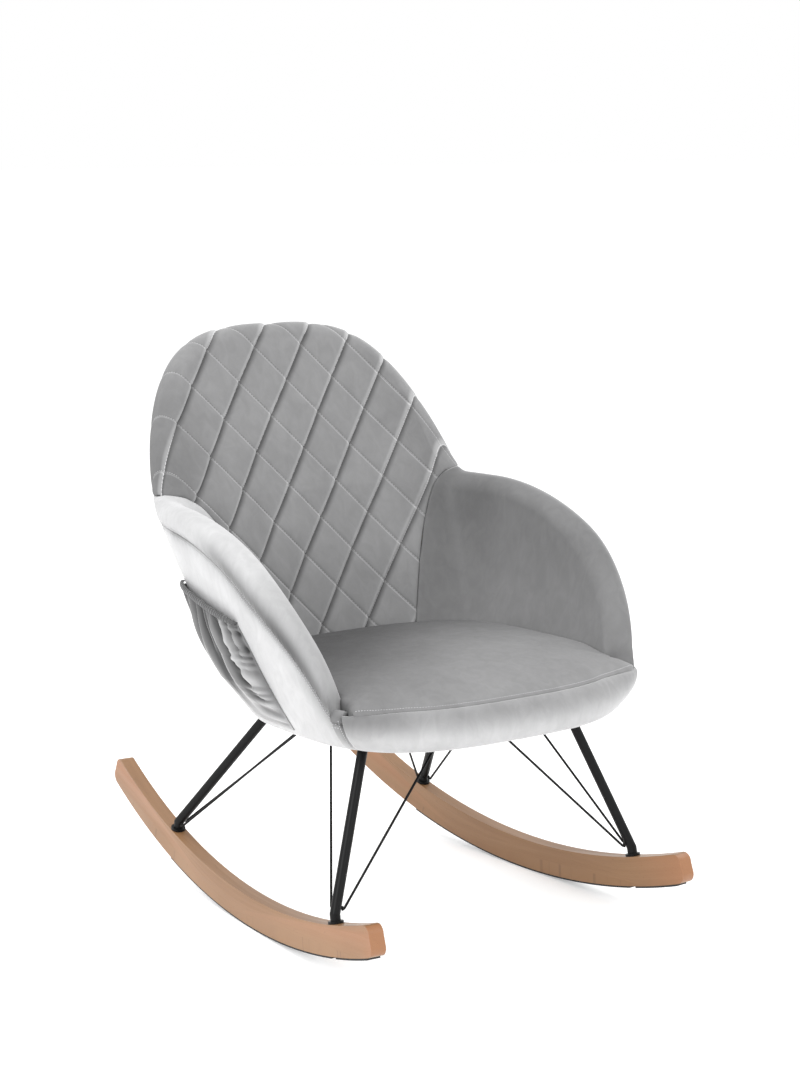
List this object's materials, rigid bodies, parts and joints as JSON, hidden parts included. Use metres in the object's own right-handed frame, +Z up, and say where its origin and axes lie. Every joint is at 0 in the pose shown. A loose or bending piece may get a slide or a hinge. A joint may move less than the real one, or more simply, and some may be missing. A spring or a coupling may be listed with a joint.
{
  "type": "upholstered rocking chair",
  "caption": "Upholstered tub rocking chair with a high quilted back, sloping arms and side pockets, on a braced black steel frame and wooden rockers.",
  "frame": {"origin": "on the floor under the middle of the rockers' arcs, on the chair's middle plane", "axes": "+Z up, -Y forwards (the way the sitter faces), +X to the sitter's left"},
  "size_m": [0.682, 0.8914, 0.9181],
  "materials": {
    "beech": "satin clear lacquer",
    "grip_rubber": "matt",
    "zinc_steel": "zinc plated",
    "black_steel": "satin powder coat",
    "plywood": "bare",
    "shell_panel": "bare",
    "foam": "open-cell foam",
    "black_cloth": "non-woven",
    "pocket_velvet": "gathered velvet",
    "quilted_velvet": "diamond-quilted velvet",
    "velvet": "soft pile velvet"
  },
  "bodies": {
    "root": {"right_rocker": "beech", "left_rocker": "beech", "right_long_strip": "grip_rubber", "left_long_strip": "grip_rubber", "right_front_strip": "grip_rubber", "left_front_strip": "grip_rubber", "front_right_leg": "black_steel", "front_left_leg": "black_steel", "rear_right_leg": "black_steel", "rear_left_leg": "black_steel", "front_right_foot": "black_steel", "front_left_foot": "black_steel", "rear_right_foot": "black_steel", "rear_left_foot": "black_steel", "front_right_side_brace": "black_steel", "front_left_side_brace": "black_steel", "front_right_cross_brace": "black_steel", "front_left_cross_brace": "black_steel", "rear_right_side_brace": "black_steel", "rear_left_side_brace": "black_steel", "rear_right_cross_brace": "black_steel", "rear_left_cross_brace": "black_steel", "front_rail": "black_steel", "rear_rail": "black_steel", "right_rail": "black_steel", "left_rail": "black_steel", "front_right_plate": "black_steel", "front_left_plate": "black_steel", "rear_right_plate": "black_steel", "rear_left_plate": "black_steel", "rocker_bolts": "zinc_steel", "seat_bolts": "zinc_steel", "tee_nuts": "zinc_steel", "seat_board": "plywood", "dust_cover": "black_cloth", "back_panel": "shell_panel", "right_arm_panel": "shell_panel", "left_arm_panel": "shell_panel", "back_foam": "foam", "right_arm_foam": "foam", "left_arm_foam": "foam", "seat_foam": "foam", "quilted_back_cover": "quilted_velvet", "right_inner_arm_cover": "velvet", "left_inner_arm_cover": "velvet", "seat_cover": "velvet", "front_band": "velvet", "outer_back_cover": "velvet", "right_outer_arm_cover": "velvet", "left_outer_arm_cover": "velvet", "right_pocket": "pocket_velvet", "left_pocket": "pocket_velvet", "right_pocket_hem": "pocket_velvet", "left_pocket_hem": "pocket_velvet"}
  },
  "joints": []
}
